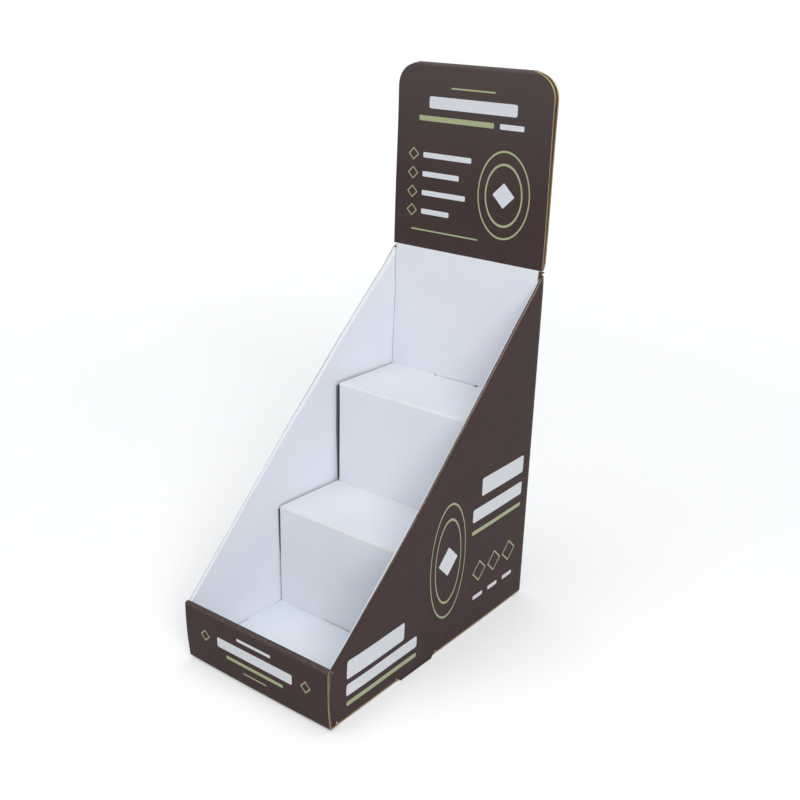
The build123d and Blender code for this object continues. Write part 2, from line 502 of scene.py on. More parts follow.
def liner_cut(name, dark, pale):
    """The cut edge of a liner: kraft with loose fibres."""
    n = Nodes(name, 0.8, 0.2)
    fibre = n.noise(1800.0, 4.0, 0.7)
    band = n.noise(180.0, 3.0)
    tone = n.mix(n.span(fibre, 0.3, 0.72), dark, pale)
    n.into("Base Color", paler_at_top(n, n.mix(n.span(band, 0.35, 0.7, 0.0, 0.6), tone, pale)))
    n.into("Normal", n.bump(fibre, 0.00004, 0.7))
    return n.material


def darkened_kraft(name):
    """The board's unprinted inner side: brown kraft with long fibres and the flutes showing through,
    darker than the kraft's own tone as painted shade for the narrow gaps where it shows.
    """
    n = Nodes(name, 0.75, 0.2)
    cloud = n.noise(60.0, 4.0, 0.6)
    fibres = n.noise(1500.0, 5.0, 0.75)
    # Kraft's brown taken darker: partly the paper's colour, partly painted shade.
    tone = n.mix(n.span(cloud, 0.3, 0.7), srgb(98, 70, 42), srgb(112, 82, 50))
    tone = n.mix(n.span(fibres, 0.5, 0.8, 0.0, 0.5), tone, srgb(76, 54, 32))
    n.into("Base Color", tone)
    n.into("Roughness", n.span(fibres, 0.3, 0.7, 0.68, 0.84))
    n.into("Normal", paper_relief(n, 2.0, 1.5))
    return n.material


KRAFT_CUT = srgb(98, 74, 48), srgb(150, 122, 86)
TRAY_MATERIALS = {
    "print": printed("dark_print", srgb(68, 53, 52), srgb(152, 137, 130)),
    "white": white_paper("white_liner", srgb(234, 236, 243), srgb(243, 243, 243)),
    "ink_white": ink("white_ink", srgb(224, 226, 230)),
    "ink_green": ink("pale_green_ink", srgb(172, 178, 136)),
    "medium": medium("fluted_medium"),
    "liner_cut": liner_cut("liner_cut_edge", srgb(172, 154, 126), srgb(214, 206, 190)),
    "inner_cut": liner_cut("inner_liner_cut_edge", *KRAFT_CUT),
    "kraft": darkened_kraft("kraft_inside"),
    # A dark grey copy of the white: painted shade for the slits beside the insert's risers
    "slit_shade": white_paper("slit_shade_liner", srgb(122, 124, 136)),
    # A brighter copy of the white for the floor: partly a different liner, partly painted light for a
    # floor that lies in shade
    "floor": white_paper("floor_white_brightened", srgb(236, 241, 247)),
}
INSERT_MATERIALS = {
    # Its fold tone is darker and warmer: partly wear, partly painted shade on the lower fold
    "print": white_paper("insert_white", srgb(235, 238, 243), srgb(226, 221, 214)),
    # A near-white strip along the insert's side edges: a painted highlight for the cut edges catching
    # light
    "rim": white_paper("insert_edge_glint", srgb(250, 250, 250)),
    "kraft": darkened_kraft("insert_inside"),
    "medium": medium("insert_medium"),
    "liner_cut": liner_cut("insert_cut_edge", srgb(176, 164, 146), srgb(210, 204, 192)),
    "inner_cut": liner_cut("insert_inner_cut_edge", *KRAFT_CUT),
}

# ---- the tray's run from the front to the liner -----------------------------

ROLL_Y = 2 * BOARD + LAYER_GAP - HALF
BACK_Y = DEPTH - HALF
LINER_MID = LINER_Y + HALF
ROLL_TOP = FRONT_TOP + 0.3 - HALF
SPINE = Path(
    [(ROLL_Y, FLOOR_FOOT), (ROLL_Y, ROLL_TOP), (HALF, ROLL_TOP), (HALF, BOARD + HALF),
     (BACK_Y, BOARD + HALF), (BACK_Y, SHOULDER), (BACK_Y + LEAN, TOP - HALF),
     (LINER_MID, TOP - HALF), (LINER_MID, FOOT)],
    [0.45, 0.5, 0.45, 0.45, 30.0, 0.6, 0.6],
)
B_ROLL_IN, B_ROLL_OUT, B_FRONT_FOOT, B_BACK_FOOT, B_NECK, B_TOP_BACK, B_TOP_FRONT = [
    (low + high) / 2 for low, high in SPINE.bends]
# The sharp folds: all but the neck, where the back only starts to lean
SPINE_FOLDS = [bend for bend in SPINE.bends if not bend[0] < B_NECK < bend[1]]
# How much shorter the way round a fold is than the way into its corner
FOLD_LOSS = 0.2
B_SHOULDER = B_BACK_FOOT + (BACK_SHOULDER - BOARD - HALF) - FOLD_LOSS
B_HEADER_BACK = B_SHOULDER + SHOULDER - BACK_SHOULDER
B_HEADER_FOOT = B_TOP_FRONT + (TOP - HALF - SHOULDER) + 0.35
B_END = SPINE.length

# How far out the folded foot stands, right and left of the middle, from the front to the back
FOOT_RIGHT = ((0, 52.7), (26, 53.05), (56, 53.4), (84, 53.85), (113, 54.35), (151, 54.78),
              (DEPTH, 54.8))
FOOT_LEFT = ((0, 52.3), (60, 52.9), (DEPTH, 53.2))
# How far the front wall stands behind the solids' flat front, by height, at its two ends
FRONT_RIGHT = ((0, 2.0), (3, 1.75), (8, 0.95), (15, 0.1), (27, 0.05), (35, 0.15), (38, 0.7))
FRONT_LEFT = ((0, 2.3), (3, 2.2), (8, 1.6), (14, 0.9), (24, 0.3), (34, 0.1), (38, 0.1))


def foot(side, y):
    """How far out the right or left edge of the foot stands."""
    return eased(FOOT_RIGHT if side > 0 else FOOT_LEFT, y)


def bulge(x, y, z):
    """How far a place at the front stands behind the solids' flat front."""
    right = min(1.0, max(0.0, (x / FRONT_HALF + 1) / 2))
    back = right * eased(FRONT_RIGHT, z) + (1 - right) * eased(FRONT_LEFT, z)
    back -= FRONT_BELLY * max(0.0, 1 - (x / FRONT_HALF) ** 2) * step(20, 3, z)
    return back * (1 - step(4.0, 26.0, y))


def rear_bow(x, z):
    """How far the back wall bows out between its folds, and at its left end up to the shoulder."""
    return REAR_BOW * step(-3, 4, z) * max(step(SHOULDER, SHOULDER - 12, z), step(-30, -50, x))


# Where the raised floor ends towards the walls, and at the back
RISE_IN, RISE_MID, RISE_OUT = 52.0, 52.45, 52.9
RISE_BACK = 130


def floor_rise(a, y):
    """How far the base between the walls stands up off its folded edges."""
    rise = FLOOR_RISE * step(RISE_BACK, 100, y) + LEFT_FLOOR_RISE * step(10, -50, a) * step(84, 22, y)
    return rise * step(RISE_OUT, RISE_IN, abs(a)) * step(1.6, 3.0, y)


def settled(z):
    """The height of a place of the folded foot, which sits a little lower than its solids."""
    return z - SETTLING * step(14, 3.5, z) * step(0.2, 1.2, z)


def liner_reach(z):
    """How far the liner reaches to the left, up to the wall that leans in towards the top."""
    face = wall_face(-1, LINER_Y, z) - WALL - splay(-1, LINER_Y, z) + crush(-1, LINER_Y, z)
    return min(face, NECK_HALF + 0.8) - 0.3


def spine_place(a, b, w):
    """The place of the run's flat point: a across it, b along it and w through the board."""
    y, z = SPINE.at(b, w)
    header = step(B_SHOULDER - 1.5, B_HEADER_BACK + 1.5, b)
    pinch = FRONT_PINCH * step(8.0, FRONT_TOP, z) * (1 - step(4.0, 12.0, y))
    half = foot(a, y) + 0.1 - pinch - 0.3 * step(2.2, 6, y) * step(7, 3.5, z)
    flare = 1 + HEADER_FLARE * step(TOP - 25, SHOULDER + 12, z)
    x = (1 - header) * (a * half / HALF_WIDTH - pinch) + header * (a * flare + HEADER_SHIFT)
    if b > B_HEADER_FOOT:
        shift = HEADER_SHIFT - 0.18 * step(SHOULDER, SHOULDER - 20, z)
        x = shift + (a if a > 0 else a / NECK_HALF * (liner_reach(z) + shift))
    if b < B_BACK_FOOT:
        rise = floor_rise(a, y) if b > B_FRONT_FOOT + 0.5 else 0.0
        y = max(y + bulge(x, y, z), LEAST_Y)
        z += rise
    elif b < B_SHOULDER:
        y += rear_bow(x, z)
    if b > B_SHOULDER:
        sway = HEADER_SWAY * ripple(a, z, 3.1, 60.0) * step(SHOULDER, SHOULDER + 40, z)
        back = 0.0
        if b < B_TOP_BACK:
            back = HEADER_HOLLOW * step(TOP - 30, SHOULDER + 10, z)
            back += rear_bow(x, z) * step(SHOULDER + 25, SHOULDER, z)
        y = min(y + back + sway * step(TOP, TOP - 12, z), DEPTH + LEAN - LEAST_GAP)
    return x, y, settled(z)


def rect(a0, a1, b0, b1):
    """A rectangle between two values each way, as a loop of points."""
    return [(a0, b0), (a1, b0), (a1, b1), (a0, b1)]


def header_z(z):
    """The place along the run of a height on the header's front or on the liner."""
    return B_TOP_FRONT + (TOP - HALF - z)


def front_z(z):
    """The place along the run of a height on the front wall."""
    return B_FRONT_FOOT - (z - BOARD - HALF)


def base_b(y):
    """The place along the run of a place on the base."""
    return B_FRONT_FOOT + (y - HALF) - FOLD_LOSS


# How far the run's edge lies in from the stand's side: at the roll's inner panel, at the back
# panel and at the shoulder under the header
ROLL_INSET = 3.7
BACK_INSET = HALF_WIDTH * 1.6 / 53.9
SHOULDER_INSET = 0.6
SHOULDER_HEIGHT = 1.0
# The lugs of the roll's inner panel and of the liner: from and to across the run, and how long
ROLL_LUG, ROLL_LUG_LENGTH = (18, 38), 1.6
LINER_LUG, LINER_LUG_LENGTH = (16, 40), 3.1
CORNER_STEPS = 14


def half_outline(corner_radius, back_neck, shoulder_drop):
    """Half of the run's outline, from the foot of the inner front panel to the liner's."""
    inner, back, outer = HALF_WIDTH - ROLL_INSET, HALF_WIDTH - BACK_INSET, HALF_WIDTH - SHOULDER_INSET
    tip = -ROLL_LUG_LENGTH - FLOOR_RISE
    half = [(ROLL_LUG[0], tip), (ROLL_LUG[1], tip), (ROLL_LUG[1], 0), (inner, 0), (inner, B_ROLL_IN),
            (HALF_WIDTH, B_ROLL_IN + 0.35)]
    shoulder = B_SHOULDER - shoulder_drop
    half += [(HALF_WIDTH, B_BACK_FOOT + 0.2), (back, B_BACK_FOOT + 0.3),
             (back, shoulder - SHOULDER_HEIGHT), (outer, shoulder - SHOULDER_HEIGHT), (outer, shoulder)]
    half += [(back_neck, shoulder), (back_neck, B_HEADER_BACK), (HEADER_HALF, B_HEADER_BACK)]
    angles = [k * math.pi / (2 * CORNER_STEPS) for k in range(CORNER_STEPS + 1)]
    corner = [(HEADER_HALF - corner_radius * (1 - math.cos(angle)),
               B_TOP_BACK - corner_radius * (1 - math.sin(angle))) for angle in angles]
    half += corner
    half += [(a, B_TOP_BACK + B_TOP_FRONT - b) for a, b in reversed(corner)]
    half += [(HEADER_HALF, B_HEADER_FOOT), (NECK_HALF, B_HEADER_FOOT), (NECK_HALF, B_END)]
    tip = B_END + LINER_LUG_LENGTH
    half += [(LINER_LUG[1], B_END), (LINER_LUG[1], tip), (LINER_LUG[0], tip), (LINER_LUG[0], B_END)]
    return half


# The lugs of the walls' inner panels, by their middles from the front
WALL_LUGS = (36.0, 143.9)
WALL_LUG_HALF = 10
SLOT_PLAY = 0.3
# Slots: from and to across, and from and to in height or from the front. The last ones, on
# both sides, take the lugs of the walls, of the roll and of the liner
TREAD_SLOT = (-14.3, 14.3, 132.0, 129.9)
RISER_SLOT = (-14.3, 14.3, 74.5, 76.4)
SIDE_SLOTS = [(51.6, 53.6, y - WALL_LUG_HALF - SLOT_PLAY, y + WALL_LUG_HALF + SLOT_PLAY)
              for y in WALL_LUGS]
SIDE_SLOTS += [(17.7, 38.3, 2.4, 3.45), (15.7, 40.3, 181.1, 182.9)]


def tray_holes():
    """Slots of the liner and of the base."""
    low, high, top, bottom = TREAD_SLOT
    holes = [rect(low, high, header_z(top), header_z(bottom))]
    slots = [RISER_SLOT]
    for side in (-1, 1):
        for near, far, front, back in SIDE_SLOTS:
            slots.append((*sorted((side * near, side * far)), front, back))
    return holes + [rect(low, high, base_b(front), base_b(back)) for low, high, front, back in slots]


# Bars of the print: ink, place across, height, half length, half height and corner radius
HEADER_BARS = (("ink_white", 0, 297.5, 30, 3.4, 1.2), ("ink_green", 0, 306.2, 15, 0.45, 0.4),
               ("ink_green", -11, 288.2, 26, 1.5, 0.7), ("ink_white", 27, 288.2, 8, 1.5, 0.7))
HEADER_FOOT_BAR = ("ink_green", -16, 222, 24, 0.45, 0.4)
FRONT_BARS = (("ink_white", 0, 21.5, 29, 3.0, 1.0), ("ink_green", 0, 14.4, 22, 1.0, 0.5),
              ("ink_white", 0, 29.0, 13, 0.9, 0.4), ("ink_green", 0, 9.2, 9, 0.4, 0.3))
# Rows of the header: half the length of each bar, the top one's height and how far apart
ROW_LENGTHS, ROW_TOP, ROW_GAP = (17, 13, 15.5, 10), 267, 11.2
# Ovals one on the other, by their share of the largest
HEADER_OVALS = (1.0, 0.955, 0.72, 0.665)
WALL_OVALS = (1.0, 0.965, 0.74, 0.7)


def bars(table, to_b):
    """The bars of a table, where to_b takes a height to the place along the run."""
    return [(ink_name, rounded(x, to_b(z), *sizes)) for ink_name, x, z, *sizes in table]


def ovals(x, y, half_w, half_h, shares):
    """Ovals one on the other, green and dark by turns."""
    return [(ink_name, oval(x, y, half_w * share, half_h * share))
            for share, ink_name in zip(shares, ("ink_green", "print") * 2)]


def lozenge(x, y, half, radius):
    return rounded(x, y, half, half, radius, math.pi / 4)


def ring(x, y, outer, inner, radii):
    """A green lozenge with a dark one in it."""
    return [("ink_green", lozenge(x, y, outer, radii[0])), ("print", lozenge(x, y, inner, radii[1]))]


def header_art():
    """Plain bars, ovals and lozenges in the print's two colours, for the header."""
    art = bars(HEADER_BARS, header_z) + ovals(24, header_z(250), 17.5, 25.375, HEADER_OVALS)
    art.append(("ink_white", lozenge(24, header_z(250), 5.2, 0.6)))
    for k, length in enumerate(ROW_LENGTHS):
        row = header_z(ROW_TOP - ROW_GAP * k)
        art.append(("ink_white", rounded(-33 + length, row, length, 1.55, 0.7)))
        art += ring(-40, row, 2.7, 2.1, (0.3, 0.2))
    return art + bars([HEADER_FOOT_BAR], header_z)


def front_art():
    """The same shapes, smaller, on the low front wall."""
    art = bars(FRONT_BARS, front_z)
    for side in (-1, 1):
        art += ring(side * 39, front_z(21.5), 2.6, 1.95, (0.3, 0.2))
    return art


def fold_wear(bends, amount, reach=0.5):
    """Wear of a sheet's outer side, by how near a bend is."""
    def wear(_, b, w):
        near = max(1 - min(1.0, max(low - b, b - high, 0.0) / reach) for low, high in bends)
        return amount * near if w > 0 else 0.0
    return wear


# Lines and loops that cross a sheet run on beyond its edges, to here across it
BEYOND = 60
# Where the run is divided: from, to and how far apart. The base has more lines where it rises
RUN_LINES = ((0, B_ROLL_IN - 2, 6), (B_ROLL_OUT + 2, B_FRONT_FOOT - 2, 2.6),
             (B_FRONT_FOOT + 2, B_FRONT_FOOT + 30, 4), (B_FRONT_FOOT + 36, B_BACK_FOOT - 3, 12),
             (B_BACK_FOOT + 3, B_TOP_BACK - 3, 9), (B_TOP_FRONT + 3, B_END, 9))
RISE_LINES = (1.8, 2.3, 2.8, 3.2, 106.5, 112, 118, 124)


def tray_lining(a, b):
    """The inner side of the tray's run: white on the floor that shows, and kraft elsewhere."""
    base = B_FRONT_FOOT - 1 < b < B_BACK_FOOT + 1
    return "floor" if base and (abs(a) < RISE_MID or b > base_b(RISE_BACK)) else "kraft"


def tray_run():
    """The run of board from the front's inner panel round to the liner."""
    outline = half_outline(14.0, NECK_HALF, 0.0)
    outline += [(-a, b) for a, b in reversed(half_outline(13.0, NECK_HALF + 1.0, 3.4))]
    regions = [("white", rect(-BEYOND, BEYOND, low, high))
               for low, high in ((-3, B_ROLL_IN - 1.2), (B_FRONT_FOOT + 7, B_BACK_FOOT - 7),
                                 (B_HEADER_FOOT - 0.15, B_END + 5))]
    regions += header_art() + front_art()
    cuts = bend_lines(SPINE_FOLDS)
    for low, high, gap in RUN_LINES:
        cuts += spaced(low, high, gap)
    lines = [((-BEYOND, b), (BEYOND, b)) for b in sorted(cuts)]
    lines += [((a, -3), (a, B_END + 5)) for a in spaced(-50, 50, 9)]
    for side in (-1, 1):
        lines += [((side * a, B_FRONT_FOOT + 0.6), (side * a, base_b(RISE_BACK + 2)))
                  for a in (RISE_IN, RISE_MID, RISE_OUT)]
    lines += [((-BEYOND, base_b(y)), (BEYOND, base_b(y))) for y in RISE_LINES]
    return build_sheet("tray_run", outline, spine_place, TRAY_MATERIALS, regions, tray_holes(), lines,
                       fold_wear(SPINE_FOLDS, 0.22), lining=tray_lining)


# ---- the doubled side walls ---------------------------------------------------

SLOPE_FOOT = np.array((3.5, 37.6))
SLOPE_PEAK = np.array((DEPTH, 208.3))
SLOPE = unit(SLOPE_PEAK - SLOPE_FOOT)
# A doubled wall's thickness, how much lower its roll is inside, how far the roll stands above
# the slope's line, and how far below that line the panels are followed
WALL = 3.05
ROLL_DROP = 0.9
ROLL_RISE = 0.3
Q_MAX = 160.0
ROLL = Path([(HALF, -Q_MAX), (HALF, ROLL_RISE - HALF), (WALL - HALF, ROLL_RISE - HALF - ROLL_DROP),
             (WALL - HALF, -Q_MAX)], [0.45, 0.35])
REAR_RADIUS = 0.45
REAR_START = DEPTH - HALF - REAR_RADIUS
REAR_END = REAR_START + REAR_RADIUS * math.pi / 2
TAB_RADIUS = 0.3
TAB_START = HALF + TAB_RADIUS
TAB_LOW = TAB_START - TAB_RADIUS * math.pi / 2
TAB_FRONT, TAB_BACK = 60.4, 89.4
TAB_TAPER = 2.6
TAB_REACH = 16.0
# How far out a wall's top stands, by the share of the depth
TOP_RIGHT = ((0, 52.6), (0.1, 53.95), (0.2, 54.72), (0.3, 54.93), (0.45, 54.96), (0.75, 54.96),
             (0.9, 54.95), (1, 54.85))
TOP_LEFT = ((0, 52.7), (0.07, 52.9), (0.13, 53.25), (0.2, 53.5), (0.32, 54.2), (0.39, 54.6),
            (0.46, 54.95), (0.7, 54.95), (0.79, 54.6), (0.87, 54.3), (0.94, 54.0), (1, 53.6))
# How far a wall's rear peak is drawn up, and from where: on the right and on the left
PEAK_LIFTS = {1: (0.6, 179.5), -1: (1.7, 174)}
# By the distance from the front: where the print ends round the roll, where its worn line is
# and how worn, and how far the fold is crushed
PRINT_RIGHT = ((0, 1.05), (20, 1.02), (43, 0.8), (71, 0.72), (105, 0.84), (136, 0.92), (168, 1.09))
PRINT_LEFT = ((0, 0.62), (47, 0.56), (80, 0.58), (115, 0.62), (150, 0.59), (DEPTH, 0.59))
WORN_RIGHT = ((0, 0.95), (20, 0.9), (43, 0.62), (71, 0.42), (105, 0.42), (136, 0.38), (168, 0.5))
WORN_LEFT = ((0, 0.27), (DEPTH, 0.27))
WEAR_RIGHT = ((0, 0.5), (20, 0.5), (43, 0.35), (71, 0.6), (105, 0.85), (136, 0.9), (168, 1.0))
CRUSH_RIGHT = ((0, 0.0), (43, 0.05), (71, 0.8), (105, 0.85), (136, 0.45), (168, 0.0))
CRUSH_LEFT = ((0, 0.9), (25, 1.1), (47, 1.3), (79, 0.85), (115, 0.05), (149, 0.8), (172, 0.7))


def slope_height(y):
    """The height of the slope's line at a place from the front."""
    return SLOPE_FOOT[1] + (y - SLOPE_FOOT[0]) * SLOPE[1] / SLOPE[0]


def wall_face(side, y, z):
    """How far out a wall's outer face stands at a place on it."""
    y = min(max(y, 0.0), DEPTH)
    low = foot(side, y) - 0.8 * step(5, 2, y)
    top = eased(TOP_RIGHT if side > 0 else TOP_LEFT, y / DEPTH)
    height = min(1.0, max(0.0, (z - BASE_TOP) / (slope_height(y) - BASE_TOP)))
    uneven = WALL_UNEVEN * ripple(y, z, 1.7 * side) * step(3, 25, y) * step(DEPTH, DEPTH - 25, y)
    out = low + (top - low) * height**WALL_POWER + uneven * step(0, 0.2, height)
    return min(out, BOX_HALF_WIDTH)


def splay(side, y, z):
    """How far a wall's inner panel stands off the outer one, beyond the board's own thickness."""
    return (LEFT_SPLAY if side < 0 else 0.0) * step(100, LINER_Y, y) * step(120, SHOULDER - 8, z)


def crush(side, y, z):
    """How far the inner panel is pressed to the outer one near the roll."""
    below = slope_height(y) - z
    return eased(CRUSH_RIGHT if side > 0 else CRUSH_LEFT, y) * step(24, 2.5, below)


def to_flat(y, z, inner=False):
    """A place on a wall's panel, in the flat of its sheet: along the slope, and round the roll."""
    d = np.array((y, z)) - SLOPE_FOOT
    t = d @ SLOPE
    q = -(d[1] * SLOPE[0] - d[0] * SLOPE[1])
    return (t, ROLL.length - (Q_MAX - q) if inner else Q_MAX - q)


def from_flat(t, p):
    """The panel place (y, z) above or below a place in the flat, before the roll is bent."""
    q = Q_MAX - (p if p < ROLL.length / 2 else ROLL.length - p)
    return SLOPE_FOOT + SLOPE * t + np.array((SLOPE[1], -SLOPE[0])) * q


def round_bend(d, w, radius):
    """A bend of a quarter turn at d = 0, of a sheet at offset w: how far on, and how far in."""
    if d <= 0:
        return d, -w
    quarter = radius * math.pi / 2
    turn = min(d, quarter) / radius
    past = max(0.0, d - quarter)
    reach = max(radius + w, CRUSHED)
    return reach * math.sin(turn), radius - reach * math.cos(turn) + past


def peak_lift(side, y, z):
    """How far a place is drawn up with the wall's rear peak."""
    lift, start = PEAK_LIFTS[side]
    return lift * step(start, REAR_START, y) * step(slope_height(y) - 12, slope_height(y) - 2, z)


def wall_place(side):
    """The place of a wall's flat point: t along the slope, p round the roll, w through the board."""
    def place(t, p, w):
        y, z = from_flat(t, p)
        outer = p < ROLL.length / 2
        if outer and y > REAR_START:
            on, into = round_bend(y - REAR_START, w, REAR_RADIUS)
            y, inset = REAR_START + on, HALF + into
        elif outer and z < TAB_START:
            on, into = round_bend(TAB_START - z, w, TAB_RADIUS)
            z, inset = TAB_START - on, HALF + into
        else:
            inset, q = ROLL.at(p, -w)
            y, z = SLOPE_FOOT + SLOPE * t + np.array((-SLOPE[1], SLOPE[0])) * q
        spread = splay(side, y, z) - crush(side, y, z)
        x = side * (wall_face(side, y, z) - inset - spread * step(0.5, WALL - 0.6, inset))
        if z < TAB_START:
            x += side * TAB_SPREAD * step(TAB_START, 0.2, z)
        z += peak_lift(side, y, z)
        # The outer panel bows with the back, and the inner one only where the roll joins them.
        joined = 1.0 if outer else step(25, 5, slope_height(y) - z)
        y += bulge(x, y, z) + rear_bow(x, z) * step(DEPTH - 30, DEPTH - 2, y) * joined
        return x, max(y, LEAST_Y), max(settled(z), 0.0)
    return place


# The places of the inner panels, as (y, z), painted dark grey: painted shade that shows through the
# slits beside the risers
SLIT_SHADE_PLACES = (((127.3, 130.5), (127.3, 100), (128.5, 68), (133, 68), (133, 130.5)),
                 ((74.2, 66.5), (74.5, 42), (76.0, 24), (80, 24), (80, 66.5)))


def under_slope(y, drop):
    """The place a way under the slope's line, taken square to it."""
    return y, slope_height(y) - drop / SLOPE[0]


def wall_outline():
    """A wall's outline in the flat: the outer panel with its tab, and the inner one with its lugs."""
    front = BOARD + LAYER_GAP
    strip_front = 2 * BOARD + LAYER_GAP + 0.2
    under_roll = FRONT_TOP - BOARD - LAYER_GAP
    tip = TAB_LOW - (TAB_REACH - HALF - TAB_RADIUS)
    outer = [(REAR_END, FOOT), (TAB_BACK + TAB_TAPER, FOOT), (TAB_BACK, TAB_START),
             (TAB_BACK - TAB_TAPER, tip), (TAB_FRONT + TAB_TAPER, tip), (TAB_FRONT, TAB_START),
             (TAB_FRONT - TAB_TAPER, FOOT), (front, FOOT), (front, under_roll),
             (strip_front, under_roll), under_slope(strip_front, HALF)]
    rear = DEPTH - BOARD - LAYER_GAP
    inner = [under_slope(strip_front, HALF + ROLL_DROP), (strip_front, FLOOR_FOOT)]
    for middle, low in zip(WALL_LUGS, (FLOOR_FOOT, FOOT)):
        before, after = middle - WALL_LUG_HALF, middle + WALL_LUG_HALF
        inner += [(before, low), (before, BOARD), (after, BOARD), (after, low)]
        # The panel's foot comes down to the floor where that stops being raised.
        inner += [(100, low), (RISE_BACK, FOOT)] if low > FOOT else []
    inner += [(rear, FOOT), under_slope(rear, HALF + ROLL_DROP + 0.8)]
    peak = slope_height(REAR_START)
    loop = [to_flat(y, z) for y, z in outer] + [to_flat(y, z, True) for y, z in inner]
    return loop + [to_flat(*under_slope(REAR_START - 0.6, HALF)), to_flat(REAR_START, peak),
                   to_flat(REAR_END, peak + 1.2)]


# Bars of a wall's print: ink, middle from the front, height, half length and half height
WALL_BARS = (("ink_white", 154, 93, 22, 5.6), ("ink_white", 150, 77, 26, 4.2),
             ("ink_green", 150, 66, 26, 1.3), ("ink_white", 38, 31.5, 24, 5.6),
             ("ink_white", 44, 19, 30, 3.6), ("ink_green", 44, 10.5, 30, 1.3))
WALL_BAR_RADIUS = 1.4


def wall_art():
    """Plain shapes on a wall's outer face."""
    art = ovals(101, 58, 17, 36.432, WALL_OVALS) + [("ink_white", lozenge(101, 58, 6.5, 0.8))]
    art += [(ink_name, rounded(*sizes, WALL_BAR_RADIUS)) for ink_name, *sizes in WALL_BARS]
    for y in (134, 150, 166):
        art += ring(y, 38, 5, 4.2, (0.5, 0.4)) + [("ink_white", rounded(y, 21, 5, 1.3, 0.6))]
    return [(ink_name, [to_flat(*place) for place in loop]) for ink_name, loop in art]


# Lines and loops across a wall's sheet run from here to here along the slope
SLOPE_FROM, SLOPE_TO = -80, 330
# White specks at the wall's foot: from the front, and how high
SPECKS = ((5.4, 0.8), (TAB_FRONT - 3.4, 0.4), (TAB_BACK + 3.4, 0.4))
ARC_PIECE = 0.19
WORN_HALF, WORN_FADE = 0.11, 0.13


def wall_regions(ends, crease):
    """The white inner side from the line where the print ends, the prints, the dark grey painted shade
    behind the insert, and white specks.
    """
    edge = [(to_flat(y, slope_height(y))[0], crease + eased(ends, y)) for y in spaced(0, REAR_START, 5)]
    start, stop, past = edge[0][0] - 10, edge[-1][0] + 0.4, ROLL.length + 5
    inside = [(start, edge[0][1]), *edge, (stop, ROLL.length / 2), (stop, past), (start, past)]
    regions = [("white", inside), ("white", rect(SLOPE_FROM, SLOPE_TO, ROLL.length / 2 + 0.2, past))]
    regions += wall_art()
    # Painted shade: the inner panels behind the risers are dark grey.
    regions += [("slit_shade", [to_flat(*place, True) for place in loop]) for loop in SLIT_SHADE_PLACES]
    specks = [rect(y - 0.5, y + 0.5, FOOT - 0.2, FOOT + top) for y, top in SPECKS]
    return regions + [("white", [to_flat(*place) for place in loop]) for loop in specks]


def wall_lines():
    """The lines that divide a wall's sheet, close together at its folds."""
    cuts = bend_lines(ROLL.bends, 10) + [ROLL.length / 2]
    cuts += spaced(5, Q_MAX - 3, 9) + spaced(Q_MAX + 6, ROLL.length - 4, 9)
    lines = [((SLOPE_FROM, p), (SLOPE_TO, p)) for p in cuts]
    lines += [((t, 0), (t, ROLL.length)) for t in spaced(-70, 255, 7)]
    rear = spaced(REAR_START, REAR_END, ARC_PIECE) + [REAR_START - 0.4, REAR_START - 2]
    lines += [(to_flat(y, -20), to_flat(y, slope_height(y))) for y in rear]
    folds = spaced(TAB_LOW, TAB_START, ARC_PIECE)
    folds += [TAB_LOW - 0.6, TAB_LOW - 3, TAB_START + 0.5, TAB_START + 1.1]
    return lines + [(to_flat(TAB_FRONT - 5, z), to_flat(TAB_BACK + 5, z)) for z in folds]


def side_wall(side, name):
    """A doubled side wall, rolled over along its slope, with its tab under the base."""
    crease_out, crease_in = ROLL.bends
    ends = PRINT_RIGHT if side > 0 else PRINT_LEFT
    worn_line = WORN_RIGHT if side > 0 else WORN_LEFT

    def wear(t, p, w):
        along = min(max(SLOPE_FOOT[0] + SLOPE[0] * t, 0.0), DEPTH)
        line = crease_out[0] + eased(worn_line, along)
        near = 1 - min(1.0, max(0.0, abs(p - line) - WORN_HALF) / WORN_FADE)
        if side > 0:
            near *= eased(WEAR_RIGHT, along)
            if crease_out[0] + eased(ends, along) - 0.02 < p < crease_in[1]:
                near = 1.0
        y = from_flat(t, p)[0] if p < ROLL.length / 2 else 0.0
        near = max(near, 0.3 * step(REAR_START - 0.8, REAR_START, y))
        return near if w > 0 else 0.0

    return build_sheet(name, wall_outline(), wall_place(side), TRAY_MATERIALS,
                       wall_regions(ends, crease_out[0]), (), wall_lines(), wear, flute=from_flat)


# ---- the stepped insert --------------------------------------------------------

INSERT_HALF = 49.0
UPPER_Z, LOWER_Z = 131.7, 67.5
UPPER_Y, LOWER_Y = 127.3, 74.7
TAB_END = LINER_Y + BOARD
STEPS = Path(
    [(TAB_END, UPPER_Z - HALF), (UPPER_Y + HALF, UPPER_Z - HALF), (UPPER_Y + HALF, LOWER_Z - HALF),
     (LOWER_Y + HALF, LOWER_Z - HALF), (LOWER_Y + HALF, BOARD)],
    [0.3, 0.7, 0.3],
)
B_UPPER, B_RISER, B_LOWER = [(low + high) / 2 for low, high in STEPS.bends]
# By the length along the insert: how far out its left edge is, and how far its folds stand up
INSERT_LEFT = ((0, 49.5), (B_UPPER - 0.5, 49.2), (B_UPPER + 1.0, 48.8), (B_RISER - 0.5, 48.2),
               (B_RISER + 1.0, 49.3), (B_LOWER, 49.9), (STEPS.length, 49.25))
TREAD_LIFT = ((0, 0.0), (8, 0.0), (B_UPPER, 0.75), (B_UPPER + 20, 0.6), (B_RISER - 10, -0.1),
              (B_RISER, -0.15), (B_LOWER, 1.0), (B_LOWER + 20, 0.8), (STEPS.length - 8, 0.0),
              (STEPS.length, 0.0))
INSERT_TAB_HALF, RELIEF_HALF, RELIEF_DEPTH = 14, 16.5, 1.2
GLINT_START = 48.45


